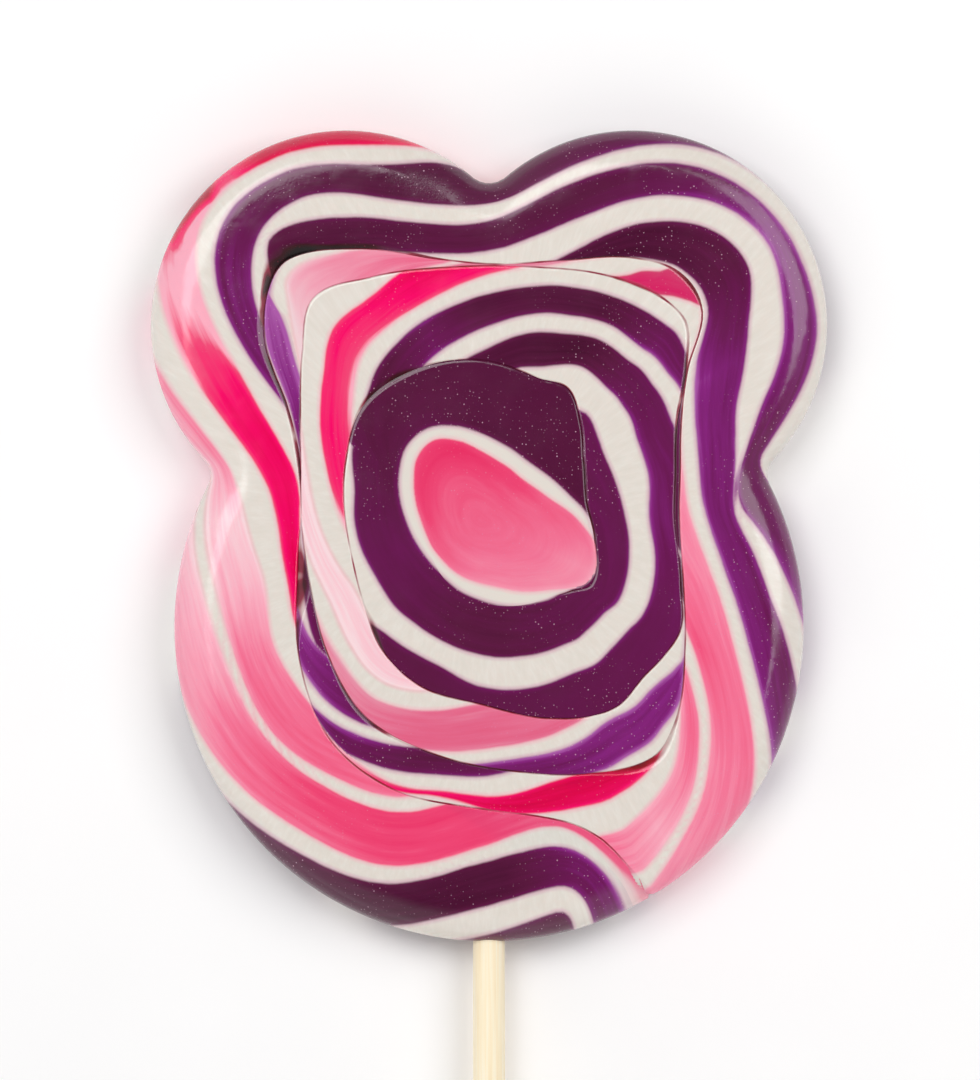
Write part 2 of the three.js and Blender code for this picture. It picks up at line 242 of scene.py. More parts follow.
# ---- the strands' tones ----
# How light or rich a strand is along the rope, where it differs from its kind: (strand number, (winding,
# tone at its outer edge, tone at its inner edge), ...).  As its tone rises, a plum strand turns violet
# and then lilac, and a pink or red one pales.
TONES = (
    (4, (75, .5, .65), (86, .15, .15), (100, .05, .1), (130, .2, .3)),
    (6, (75, .3, .3), (90, .25, .22), (105, .25, .15), (120, .38, .2), (135, .47, .4), (150, .6, .7),
     (170, .66, .82)),
    (8, (120, .39, .33), (135, .43, .45), (150, .47, .6), (165, .74, .82), (180, .87, .9), (195, .8, .45)),
    (10, (165, .5, .2), (180, .5, .42), (198, .5, .4), (204, .58, .4), (208, .80, .43), (211, .84, .54),
     (214, .92, .9), (217, 1, 1.1), (219, .9, 1.2), (221, .4, 1.7), (224, -1.9, 2.3), (227, -3.6, 1.8),
     (230, -3.6, .8), (232, -1.2, .9), (234, -.4, .8), (236, .1, .4), (239, .2, .1), (262, 0, .2)),
    (12, (225, .6, .6), (240, .4, .35), (255, .15, .2), (285, .25, .4)),
    (14, (240, .2, .2), (285, .25, .35), (300, .35, .5), (315, .7, .8), (330, .6, .75),
     (345, .5, .5), (375, .6, .7)),
    (16, (300, .15, 0), (315, .3, .35), (328, .6, .85), (345, .65, .7), (390, .5, .75)),
    (18, (360, .6, .6), (375, .5, .55), (390, .5, .3), (405, .5, .5), (420, .5, .6)),
    (20, (405, .4, .5), (420, .69, .69), (440, .25, .25)),
    (22, (405, .4, .1), (420, .5, .1), (440, .3, .3), (465, .2, .6), (480, .8, .8)),
    (24, (450, .5, .2), (465, .4, .3), (480, .4, .7)),
    (26, (480, .5, .5), (495, .75, .65), (515, .85, .95)),
    (28, (562, .4, .5), (575, .75, .9), (590, 1, 1)),
    (30, (585, 1, .8), (600, .65, .7), (615, .5, .5), (625, .4, .5)),
    (32, (630, .45, .45), (645, .5, .6)),
    (34, (660, .45, .6), (670, .75, .5), (690, .5, .6)),
    (40, (765, .76, .76), (780, .74, .74), (795, .55, .7)),
    (42, (795, .45, .5), (825, .45, .45), (840, .45, .6), (855, .5, .7)),
    (44, (840, .9, .9), (930, .95, .95)),
    (46, (900, .8, .7), (915, .6, .6), (930, .5, .7), (945, .5, .85), (960, .5, .75), (975, .35, .6),
     (990, .15, .6)),
    (48, (960, .25, .3), (975, .5, .6), (990, .1, .4), (1020, .05, .2), (1035, .45, .65)),
    (50, (990, .15, .2), (1020, 0, .1), (1035, .35, .5), (1050, .5, .6), (1080, .5, .65),
     (1110, .5, .5), (1140, .4, .4), (1180, .3, .3)),
    (52, (1050, .4, .5), (1110, .5, .4), (1160, .25, .25), (1240, .5, .5), (1300, .3, .3), (1350, .2, .2)),
    (54, (1128, .55, .5), (1170, .5, .45), (1215, .35, .4), (1260, .25, .4), (1330, .1, .3),
     (1400, .2, .35), (1440, .35, .45), (1465, .6, .55), (1488, .55, .5)),
)
DUSK = {30: 0.12, 32: 0.25, 34: 0.4, 42: 0.2, 22: 0.06, 54: 0.05}  # how much greyer some strands are
USUAL_TONE = 0.25
CENTRE_TONE = 0.4                        # of the pink oval, where all the windings meet
CENTRE_REACH = 0.9                       # share of the oval over which that tone gives way
# What the sugar's material reads at each corner of the mesh.
SUGAR_VALUES = ("strand", "edge_mm", "along_mm", "tone", "dusk", "seam_mm", "seam_reach", "seam_shade",
                "rim_mm")

# ---- patterns in the materials: how many fit in a millimetre ----
RIBS = 1.4                               # ribs 0.7 mm apart across pulled white sugar
BUBBLES_AND_GLINTS = 2.3                            # one place for a bubble or a painted glint every 0.4 mm
BUBBLE_AND_GLINT_PATCHES = 0.06                    # patches with and without them, 17 mm apart
# The painted shade in the seams is stronger and weaker in stretches.
SEAM_STRETCHES = 0.16                    # darker and lighter stretches of a seam, 6 mm apart
RIPPLES = 0.18                           # slow unevenness of a pressed face, 5.5 mm apart
FROST_PATCHES = 0.14                     # patches where the mould left the shoulder rough, 7 mm apart
PITS = 3.2                               # pits in them 0.3 mm apart, coarser than real ones, to show
WOOD_FIBRES = 2.6                        # fibres 0.4 mm apart, coarser than birch's own, to show
WOOD_FIGURE = 0.5                        # paler and darker stripes, 2 mm apart
ALONG_GRAIN = 0.02                       # the wood's patterns are drawn out along it by one over this
ROLLER_MOTTLE = 0.03                     # the roller's marks in the floor's paint, 33 mm apart
STREAK_LENGTH = 18.0                     # mm, of the streaks in coloured strands
STREAKS_ACROSS = 5.5                     # of them side by side in a strand
WAVER_LENGTH = 3.0                       # mm, of the wavers in the strands' edges
WAVERS_ACROSS = 1.5

# ---- the stick and the studio ----
STICK_UNEVENNESS = 0.012                 # share of the radius that it varies by
STICK_WAVES = ((0.11, 0.0), (0.043, 1.3))    # the two waves in it: radians per mm, and where they start
FLOOR_SIZE = 3.0                         # metres
FLOOR_GAP = 0.0001                       # metres, so that the floor shares no plane with the candy
SENSOR = 36.0                            # mm, along the picture's longer side
PICTURE_HEIGHT = 0.1512                  # metres of the candy's face that the picture takes in
PICTURE_CENTRE = (0.00014, 0.01218)      # metres
LAMPS = (                                # direction from the candy, size in metres, share of the power
    ((-0.285, 0.295, 0.91), 0.6, 1.0),
    ((0.52, 0.26, 0.81), 0.7, 1.12),
)
LAMP_DISTANCE = 1.1                      # metres
SIDE_LIGHT = (-0.4, -0.6, 0.0)           # the even light is stronger from the left and from the stick's end
# Heights in the sky, each with the share of the even light that comes from there.
SKY = ((0.05, 1.0), (0.4, 0.65), (0.75, 0.65), (0.95, 0.02))


# ---- small helpers ----
def linear(colour):
    """An sRGB hex colour as the linear red, green and blue that Blender takes."""
    shares = [int(colour[i:i + 2], 16) / 255 for i in (1, 3, 5)]
    return tuple(s / 12.92 if s <= 0.04045 else ((s + 0.055) / 1.055) ** 2.4 for s in shares)


def fade(t):
    """0 up to 0, 1 from 1 on, and smooth between."""
    t = np.clip(t, 0, 1)
    return t * t * (3 - 2 * t)


def rise(value, start, end):
    """0 up to the start, 1 from the end on, and smooth between."""
    return fade((value - start) / (end - start))


def through(knots, at, fall=0.0, ends_even=False):
    """A smooth curve through (place, value) knots, whose slope at a knot is that between its neighbours.

    Past its ends it stays level, or with a `fall` it goes on down by at least that much a step, or up if
    `fall` is below 0.  With `ends_even` it goes down by just that after its last knot, so that the edges
    of neighbouring strands stay apart there."""
    place, value = (np.array(column, float) for column in zip(*knots))
    slope = np.gradient(value, place)
    slope[1:-1] = (value[2:] - value[:-2]) / (place[2:] - place[:-2])
    i = np.clip(np.searchsorted(place, at, side="right") - 1, 0, len(place) - 2)
    span = place[i + 1] - place[i]
    t = np.clip((at - place[i]) / span, 0, 1)
    share = fade(t)
    curve = value[i] * (1 - share) + value[i + 1] * share
    curve += span * t * (1 - t) * (slope[i] * (1 - t) - slope[i + 1] * t)
    if fall:
        steeper = min if fall > 0 else max
        curve += np.minimum(at - place[0], 0) * steeper(slope[0], -fall)
        curve += np.maximum(at - place[-1], 0) * (-fall if ends_even else steeper(slope[-1], -fall))
    return curve


# ---- the outline ----
def fillet_centre(first, first_radius, second, second_radius, fillet):
    """Centre of the circle that touches two circles from outside, on the right of first to second."""
    a = first_radius + fillet
    b = second_radius + fillet
    apart = math.dist(first, second)
    along = (a * a - b * b + apart * apart) / (2 * apart)
    aside = math.sqrt(a * a - along * along)
    unit = ((second[0] - first[0]) / apart, (second[1] - first[1]) / apart)
    return (first[0] + unit[0] * along + unit[1] * aside, first[1] + unit[1] * along - unit[0] * aside)


HEAD = (0.0, 0.0)
EARS = ((EAR_X, EAR_Y), (-EAR_X, EAR_Y))
NECK = fillet_centre(HEAD, HEAD_RADIUS, EARS[0], EAR_RADIUS, NECK_FILLET)
CROWN = (0.0, EAR_Y + math.sqrt((EAR_RADIUS + CROWN_FILLET) ** 2 - EAR_X ** 2))
FILLETS = (
    (NECK, NECK_FILLET, HEAD, EARS[0]),
    ((-NECK[0], NECK[1]), NECK_FILLET, HEAD, EARS[1]),
    (CROWN, CROWN_FILLET, EARS[0], EARS[1]),
)


def outline_inset(x, y):
    """How far inside the bear outline a point lies.  Between the two circles that a fillet joins, it is
    the distance to the fillet."""
    inset = HEAD_RADIUS - np.hypot(x, y)
    for ear in EARS:
        inset = np.maximum(inset, EAR_RADIUS - np.hypot(x - ear[0], y - ear[1]))
    for centre, radius, first, second in FILLETS:
        px, py = x - centre[0], y - centre[1]
        ax, ay = first[0] - centre[0], first[1] - centre[1]
        bx, by = second[0] - centre[0], second[1] - centre[1]
        turn = ax * by - ay * bx
        between = ((ax * py - ay * px) * turn >= 0) & ((bx * py - by * px) * turn <= 0)
        near = np.hypot(px, py) < radius + FILLET_REACH
        inset = np.where(between & near, np.hypot(px, py) - radius, inset)
    return inset


def round_heart(winding, radius):
    """The x and y of places at a winding and a distance from the heart."""
    angle = -np.radians(winding)
    return HEART[0] + radius * np.cos(angle), HEART[1] + radius * np.sin(angle)


def rim_radii():
    """The rim's distance from the heart at every whole degree, and the same with its bends softened."""
    near = np.full(TURN, RIM_BETWEEN[0])
    far = np.full(TURN, RIM_BETWEEN[1])
    for _ in range(HALVINGS):
        middle = (near + far) / 2
        inside = outline_inset(*round_heart(np.arange(TURN), middle)) > 0
        near = np.where(inside, middle, near)
        far = np.where(inside, far, middle)
    reach = np.minimum(np.arange(TURN), TURN - np.arange(TURN))
    weight = np.exp(-0.5 * (reach / BEND_SPREAD) ** 2)
    soft = np.fft.irfft(np.fft.rfft(near) * np.fft.rfft(weight / weight.sum()), TURN)
    return near, soft


RIM, SOFT_RIM = rim_radii()


# ---- the coiled rope ----
def seam_radius(winding):
    """Distance of the seam between two turns from the heart."""
    knots = SEAM_KNOTS + HEART_KNOTS
    return np.maximum(through(knots, np.clip(winding, SEAM_START, HEART_WINDING)), 0)


def outer_radius(winding, depth):
    """The rope's outer side, as the strands at that depth follow it."""
    degree = np.round(winding).astype(int) % TURN
    softness = np.clip(depth / BEND_DEPTH, 0, 1)
    rim = RIM[degree] + (SOFT_RIM[degree] - RIM[degree]) * softness
    seam = np.where(winding < SEAM_START, rim, seam_radius(winding))
    return rim + (seam - rim) * rise(winding, *RIM_TO_SEAM)


def inner_radius(winding):
    """The rope's inner side, which is the next turn's outer side."""
    return np.where(winding + TURN < HEART_WINDING, seam_radius(winding + TURN), 0.0)


def rope_radius(winding, depth):
    """Distance from the heart of the strands at a depth: 0 is the rope's outer side, 1 its inner side."""
    outer = outer_radius(winding, depth)
    return outer + (inner_radius(winding) - outer) * depth


def stations(first, values):
    """The (winding, value) pairs of a row of values at even stations."""
    return [(first + STATION * i, value) for i, value in enumerate(values)]


def rope_edges(winding):
    """Depth of every strand edge at every winding, as if no strand went round the heart."""
    order = np.arange(FIRST_EDGE, LAST_EDGE + 1)
    depth = np.where(order <= START_EDGE, -EDGE_LIMIT, EDGE_LIMIT) * np.ones((len(winding), 1))
    for number in range(FIRST_EDGE, START_EDGE):
        behind = START_SPACING * (number - START_EDGE)
        depth[:, number - FIRST_EDGE] = behind - STRAND_DRIFT * (winding - ROPE_START)
    even_rows = [(number, stations(first, values)) for number, first, values in EDGE_ROWS]
    for number, pairs in (*even_rows, *SQUARE_ROWS):
        depth[:, number - FIRST_EDGE] = through(pairs, winding, STRAND_DRIFT, True)
    return depth


def heart_row_radius(radii, from_first):
    """Distance from the heart of an edge that runs round it, by degrees from its first station."""
    if len(radii) < TURN // STATION:
        return through(stations(0, radii), from_first, -SPREAD_OUT)
    closed = stations(-STATION, (radii[-1], *radii, *radii[:2]))
    return through(closed, from_first % TURN)


def strand_edges(winding):
    """Depth of every strand edge at every winding, edges along the second axis in rising order."""
    depth = rope_edges(winding)
    near_heart = winding >= HEART_TURN
    at = winding[near_heart]
    outer = seam_radius(at)
    width = np.maximum(outer - inner_radius(at), LEAST_ROPE)
    depth[near_heart, :HEART_ROWS[0][0] - FIRST_EDGE] = -EDGE_LIMIT
    joined = fade((at - HEART_TURN) / HEART_JOIN)
    for number, first, radii in HEART_ROWS:
        radius = heart_row_radius(radii, at - first)
        before = depth[near_heart, number - FIRST_EDGE]
        after = (outer - radius) / width
        depth[near_heart, number - FIRST_EDGE] = before + (after - before) * joined
    spacing = EDGE_SPACING * np.arange(depth.shape[1])
    depth = np.maximum.accumulate(np.clip(depth, -EDGE_LIMIT, EDGE_LIMIT) + spacing, axis=1)
    # The last heart row is the oval's outline, and the edges before it stay outside it.  The next edge
    # is put as far past the heart as the outline is before it, so the heart is the strand's middle.
    oval = OVAL_STRAND - FIRST_EDGE
    oval_edge = ((outer - radius) / width)[:, None]
    heart = np.minimum(depth[near_heart], oval_edge - spacing[::-1])
    heart[:, oval - 1:oval] = oval_edge
    heart[:, oval:] = ((outer + radius) / width)[:, None] + spacing[:depth.shape[1] - oval]
    depth[near_heart] = heart
    return depth


def lean(radius):
    """Cosine of the angle by which lines along the coil lean from true circles about the heart."""
    climb = np.gradient(radius, axis=0) / (np.radians(1) * np.maximum(radius, LEAST_RADIUS))
    return 1 / np.sqrt(1 + climb ** 2)


def strand_place(winding, edges, depth):
    """Which strand is where: its number with the share of its width passed, and mm to its edge.

    The number is whole at the middle of a strand.  The distance is below 0 in coloured strands."""
    width = np.maximum(outer_radius(winding, 0.5) - inner_radius(winding), LEAST_ROPE)[:, None]
    edge_lean = lean(rope_radius(winding[:, None], np.clip(edges, *LEAN_DEPTHS)))
    passed = (edges[:, None, :] < depth[:, :, None]).sum(axis=2).clip(1, edges.shape[1] - 1)
    row = np.arange(len(winding))[:, None]
    before = (depth - edges[row, passed - 1]) * width
    after = (edges[row, passed] - depth) * width
    number = FIRST_EDGE + passed
    place = number + before / np.maximum(before + after, 1e-6) - 0.5
    gap = np.minimum(before * edge_lean[row, passed - 1], after * edge_lean[row, passed])
    return place, np.where(number % 2 == 1, gap, -gap)


def rope_end_depth(winding, depth):
    """The depth whose strand shows there: at the rope's outer end the strands fold round its tip.

    Down the upright side, where the depth is below 0, the fold sets in more and more gently."""
    fold = np.maximum(ROPE_END_WINDING - winding, 0)[:, None] / ROPE_END_REACH
    eased = fold + fold * (fade(fold) - 1) * fade(-depth / WALL_SHARE)
    return np.where(depth > 0, np.cbrt(np.maximum(depth, 0) ** 3 + fold ** 3), depth + eased)


def seam_shape(winding, side):
    """Reach, depth and painted shade of the seam's groove on one side of it."""
    reach = np.full(len(winding), GROOVE_REACH)
    depth = np.full(len(winding), GROOVE_DEPTH)
    shade = np.full(len(winding), GROOVE_SHADE)
    for middle, spread, open_side, wide, deep, dark in OPENINGS:
        swell = fade(1 - abs(winding - middle) / spread)
        depth += deep * swell
        shade += dark * swell
        if side == open_side:
            reach += wide * swell
    real = fade((winding - SEAM_START) / SEAM_FADES[0]) * fade((SEAM_END - winding) / SEAM_FADES[1])
    return reach[:, None], (depth * real)[:, None], (shade * real)[:, None]


def seam_fields(winding, radius):
    """Distance to the nearer seam in mm, and that seam's reach, groove depth and painted shade there."""
    outer = seam_radius(winding)
    inner = inner_radius(winding)
    to_outer = (outer[:, None] - radius) * lean(outer)[:, None]
    to_outer = np.where((winding < SEAM_START)[:, None], NO_SEAM, to_outer)
    to_inner = (radius - inner[:, None]) * lean(inner)[:, None]
    outer_shape = seam_shape(winding, -1)
    inner_shape = seam_shape(winding + TURN, 1)
    nearer = to_outer / outer_shape[0] < to_inner / inner_shape[0]
    reach, depth, shade = (np.where(nearer, a, b) for a, b in zip(outer_shape, inner_shape))
    return np.where(nearer, to_outer, to_inner), reach, depth, shade


def rounded_drop(x, y, inset, rounding):
    """How far a face falls below its level at a distance inside the rim."""
    share = np.clip(1 - inset / rounding[0], 0, 1)
    pressed = rise(x * PILLOW_TOWARDS[0] + y * PILLOW_TOWARDS[1], *PILLOW_FROM)
    pillow = PILLOW_DROP * pressed * np.clip(1 - inset / PILLOW_REACH, 0, 1) ** 2
    return pillow + (rounding[1] - PILLOW_DROP * pressed) * (1 - np.sqrt(1 - share ** 2))


# ---- the candy mesh ----
def row_depths(winding, rows):
    """Depths of the grid's rows: close together at the rim and at the seams."""
    step = np.linspace(0, 1, rows + 1)[None, :]
    close = (1 - np.cos(np.pi * step)) / 2
    evenness = EVEN_SHARE * fade((winding - SEAM_START) / EVEN_REACH)[:, None]
    return close + (step - close) * evenness


def coil_face(winding, edges, rows, is_front):
    """Points and surface values of one face of the coil, as grids of winding by depth."""
    depth = row_depths(winding, rows)
    radius = rope_radius(winding[:, None], depth)
    x, y = round_heart(winding[:, None], radius)
    inset = np.maximum(outline_inset(x, y), 0)
    inset[:TURN + 1, 0] = 0              # the rim itself
    seam, reach, groove, shade = seam_fields(winding, radius)
    drop = groove * np.clip(1 - seam / reach, 0, 1) ** GROOVE_CURVE
    drop += DOME_DROP * (1 - fade(seam / DOME_REACH)) * np.minimum(groove / GROOVE_DEPTH, 1)
    if is_front:
        z = CANDY_HIGH.z - drop - rounded_drop(x, y, inset, FRONT_ROUND)
        strand_depth = depth
    else:
        z = CANDY_LOW.z + drop + rounded_drop(x, y, inset, BACK_ROUND)
        like_front = rise(winding, *BACK_TURNS)[:, None]
        strand_depth = depth * like_front - (WALL_SHARE + depth) * (1 - like_front)
    place, edge = strand_place(winding, edges, rope_end_depth(winding, strand_depth))
    along = along_strands(winding, place, x, y)
    values = surface_values(winding, place, edge, along, seam, reach, shade, inset)
    return np.stack([x, y, z], axis=-1), values


def coil_side(winding, edges):
    """Points and surface values of the candy's upright side, as grids of winding by height."""
    down = np.linspace(0, 1, WALL_ROWS + 1)[None, :]
    radius = np.repeat(outer_radius(winding, 0.0)[:, None], WALL_ROWS + 1, axis=1)
    x, y = round_heart(winding[:, None], radius)
    z = np.broadcast_to(WALL_TOP + (WALL_FOOT - WALL_TOP) * down, radius.shape)
    strand_depth = rope_end_depth(winding, -WALL_SHARE * down)
    place, edge = strand_place(winding, edges, strand_depth)
    from_end = np.minimum(winding - ROPE_START, SEAM_START - winding)
    seam = np.radians(from_end)[:, None] * radius
    reach = np.full(seam.shape, 2 * GROOVE_REACH)
    shade = np.full(seam.shape, GROOVE_SHADE)
    along = along_strands(winding, place, x, y)
    values = surface_values(winding, place, edge, along, seam, reach, shade, 0.0)
    return np.stack([x, y, z], axis=-1), values


def along_strands(winding, place, x, y):
    """Length along the rope in mm.  In the heart it turns to length along the oval, so it never jumps."""
    middle = (outer_radius(winding, 0.5) + inner_radius(winding)) / 2
    rope = np.cumsum(np.radians(1) * np.maximum(middle, 1))[:, None]
    oval = (x - y) * math.sqrt(0.5)
    return rope + (oval - rope) * fade(place - OVAL_STRAND + 1.5)


def surface_values(winding, place, edge, along, seam, reach, shade, inset):
    """The values that the sugar's material reads at each corner of the mesh."""
    found = (place, edge, along, strand_tone(winding, place), strand_dusk(place), seam, reach, shade, inset)
    return {name: np.broadcast_to(value, place.shape) for name, value in zip(SUGAR_VALUES, found)}


def coloured_strand(place):
    """Number of the coloured strand at each place, or of the one nearest to it."""
    return np.round(place / 2).astype(int) * 2


def strand_tone(winding, place):
    """Tone at each place, from the strand's tones at its two edges."""
    tones = np.full((2, len(winding), LAST_EDGE + 2 - FIRST_EDGE), USUAL_TONE)
    # On the unseen line to the heart, the tones of the turn before serve again.
    once = np.where(winding > SEAM_END, winding - TURN, winding)
    for number, *knots in TONES:
        at, *sides = np.array(knots, float).T
        for side, values in enumerate(sides):
            tones[side, :, number - FIRST_EDGE] = np.interp(once, at, values)
    coloured = coloured_strand(place)
    row = np.arange(len(winding))[:, None]
    outer, inner = tones[:, row, coloured - FIRST_EDGE]
    tone = outer + (inner - outer) * np.clip(place - coloured + 0.5, 0, 1)
    # 0 in the middle of the oval, 1 from its outline on.
    from_centre = np.where(coloured == OVAL_STRAND, 2 * (OVAL_STRAND - place), 1.0)
    return CENTRE_TONE + (tone - CENTRE_TONE) * fade(from_centre / CENTRE_REACH)


def strand_dusk(place):
    """How dusky the strand at each place is."""
    dusk = np.zeros(LAST_EDGE + 2)
    for number, value in DUSK.items():
        dusk[number] = value
    return dusk[np.maximum(coloured_strand(place), 0)]


def face_keys(first, shape, flipped):
    """Corner keys in a grid, counted on from the first, and its four-sided faces, wound to face out."""
    grid = first + np.arange(shape[0] * shape[1]).reshape(shape)
    quads = np.stack([grid[:-1, :-1], grid[:-1, 1:], grid[1:, 1:], grid[1:, :-1]], axis=-1).reshape(-1, 4)
    return grid, (quads[:, ::-1] if flipped else quads)


def join_turns(grid, owner):
    """Gives the seam's corners one vertex each, the same for both turns, and closes both rope ends."""
    owner[grid[0, :]] = grid[0, 0]
    owner[grid[-TURN - 1:, -1]] = grid[-1, -1]
    owner[grid[-1, :]] = grid[-1, -1]
    owner[grid[TURN:, 0]] = owner[grid[:-TURN, -1]]


def shared_vertices(front, back, side):
    """For each corner key, the key whose vertex it shares, so that the parts close to one skin."""
    owner = np.arange(front.size + back.size + side.size)
    join_turns(front, owner)
    join_turns(back, owner)
    owner[side[:, 0]] = owner[front[:TURN + 1, 0]]
    owner[side[:, -1]] = owner[back[:TURN + 1, 0]]
    owner[side[-1, 1:-1]] = side[0, 1:-1]
    return owner


def closed_faces(keys, vertex):
    """The faces as their vertices, and the keys of all their corners.

    Where corners share a vertex, a face keeps three corners, or is left out."""
    polygons, corners = [], []
    for quad, ids in zip(keys.tolist(), vertex[keys].tolist()):
        kept = [k for k in range(4) if ids[k] != ids[k - 1]]
        if len(kept) > 2:
            polygons.append([ids[k] for k in kept])
            corners.extend(quad[k] for k in kept)
    return polygons, corners


def build_candy_mesh(front_rows, back_rows):
    """The whole candy as one closed mesh, with the values its material reads stored at the corners."""
    winding = np.arange(ROPE_START, HEART_WINDING + 1)
    edges = strand_edges(winding)
    parts = (
        (*coil_face(winding, edges, front_rows, True), False),
        (*coil_face(winding, edges, back_rows, False), True),
        (*coil_side(winding[:TURN + 1], edges[:TURN + 1]), True),
    )
    grids, faces = [], []
    for part_points, _, flipped in parts:
        first = sum(done.size for done in grids)
        grid, quads = face_keys(first, part_points.shape[:2], flipped)
        grids.append(grid)
        faces.append(quads)
    front, back, side = grids
    owner = shared_vertices(front, back, side)
    points = np.concatenate([part_points.reshape(-1, 3) for part_points, _, _ in parts])
    draw_in_end(points, np.concatenate([front[0, :1], back[0, :1], side[0, :]]))
    used, vertex = np.unique(owner, return_inverse=True)
    polygons, corners = closed_faces(np.concatenate(faces), vertex)
    mesh = bpy.data.meshes.new("candy_coil")
    mesh.from_pydata((points[used] * MM).tolist(), [], polygons)
    for name in SUGAR_VALUES:
        table = np.concatenate([values[name].reshape(-1) for _, values, _ in parts])
        attribute = mesh.attributes.new(name, "FLOAT", "CORNER")
        attribute.data.foreach_set("value", table[corners].astype(np.float32))
    mesh.shade_smooth()
    return mesh


def draw_in_end(points, keys):
    """Draws the rim in a little where the rope's outer end meets it."""
    inward = np.array([HEART[0], HEART[1], 0]) - points[keys[0]]
    inward[2] = 0
    points[keys] += END_NOTCH * inward / np.linalg.norm(inward)


# ---- materials ----
def add(tree, kind, inputs=(), stops=(), **settings):
    """Adds a node.  Its inputs are given in order or by name, each a value or what it is linked to.  A
    MapRange's are the value, the two ends it is read between and the two it is given between, and a
    MixRGB's are the share of the second colour and the two colours.  Stops are a colour ramp's (place,
    linear colour) pairs, and settings are the node's own properties."""
    node = tree.nodes.new("ShaderNode" + kind)
    for name, value in settings.items():
        setattr(node, name, value)
    for name, source in inputs.items() if isinstance(inputs, dict) else enumerate(inputs):
        if isinstance(source, bpy.types.Node):
            source = source.outputs[0]
        if isinstance(source, bpy.types.NodeSocket):
            tree.links.new(source, node.inputs[name])
        else:
            node.inputs[name].default_value = source
    for i, (place, colour) in enumerate(stops):
        element = node.color_ramp.elements[i] if i < 2 else node.color_ramp.elements.new(place)
        element.position = place
        element.color = (*colour, 1)
    return node


def new_material(name):
    """A new material and its node tree, still empty."""
    material = bpy.data.materials.new(name)
    material.use_nodes = True
    material.node_tree.nodes.clear()
    return material, material.node_tree


def streaks(tree, values, length, count, detail=3.0, roughness=0.5):
    """Noise drawn out along the strands: `length` mm long, `count` of them across a strand."""
    along = add(tree, "Math", [values["along_mm"], length], operation="DIVIDE")
    across = add(tree, "Math", [values["strand"], count], operation="MULTIPLY")
    vector = add(tree, "CombineXYZ", [along, across])
    return add(tree, "TexNoise", {"Vector": vector, "Scale": 1.0, "Detail": detail, "Roughness": roughness})


def tinted(tree, values, noise, by_noise, by_edge):
    """A place on a colour ramp: the strand's tone, moved by its streaks and near its edges."""
    streak = add(tree, "Math", [noise, 0.5], operation="SUBTRACT")
    streaked = add(tree, "Math", [streak, by_noise, values["tone"]], operation="MULTIPLY_ADD")
    rim = add(tree, "MapRange", [values["edge_mm"], -1.0, 0.0, 0.0, by_edge],
              interpolation_type="SMOOTHSTEP")
    return add(tree, "Math", [streaked, rim], operation="ADD", use_clamp=True)


def coloured_sugar(tree, values, colours):
    """The colour of the plum, pink and red strands, the colour that each bleeds into the white, and
    whether a strand is a pink or red one."""
    noise = streaks(tree, values, STREAK_LENGTH, STREAKS_ACROSS, detail=6.0, roughness=0.62)
    plum = add(tree, "ValToRGB", [tinted(tree, values, noise, by_noise=0.45, by_edge=0.24)], stops=(
        (0.0, colours.plum_dark), (0.28, colours.plum), (0.55, colours.plum_pale), (0.8, colours.violet),
        (1.0, colours.lilac)))
    pink = add(tree, "ValToRGB", [tinted(tree, values, noise, by_noise=0.45, by_edge=0.10)], stops=(
        (0.0, colours.pink_deep), (0.25, colours.pink), (0.5, colours.pink_soft), (0.75, colours.pink_pale),
        (1.0, colours.pink_white)))
    red = add(tree, "ValToRGB", [tinted(tree, values, noise, by_noise=0.4, by_edge=0.20)], stops=(
        (0.0, colours.red_deep), (0.3, colours.red), (0.55, colours.red_pink), (0.8, colours.pink),
        (1.0, colours.pink_pale)))
    turned = add(tree, "Math", [values["strand"], 1.0], operation="ADD")
    share = add(tree, "Math", [turned, 1.0 / STRANDS], operation="MULTIPLY")
    round_rope = add(tree, "Math", [share], operation="FRACT")
    is_pink = add(tree, "Math", [round_rope, FIRST_PINK / STRANDS], operation="GREATER_THAN")
    is_red = add(tree, "Math", [round_rope, FIRST_RED / STRANDS], operation="GREATER_THAN")
    cool = add(tree, "MixRGB", [is_pink, plum, pink])
    fringe = add(tree, "MixRGB", [is_pink, (*colours.plum_fringe, 1), (*colours.pink_fringe, 1)])
    return add(tree, "MixRGB", [is_red, cool, red]), fringe, is_pink


def white_sugar(tree, values, colours, fringe):
    """Pulled white sugar: finely ribbed across its length, with colour bled into its edges."""
    place = add(tree, "CombineXYZ", [values["along_mm"], values["strand"]])
    ribs = add(tree, "TexNoise", {"Vector": place, "Scale": RIBS, "Detail": 4.0, "Roughness": 0.6})
    white = add(tree, "ValToRGB", [ribs], stops=(
        (0.25, colours.white_dull), (0.5, colours.white), (0.75, colours.white_bright)))
    bleed = add(tree, "MapRange", [values["edge_mm"], 0.0, 0.7, 0.45, 0.0],
                interpolation_type="SMOOTHSTEP")
    return add(tree, "MixRGB", [bleed, white, fringe])


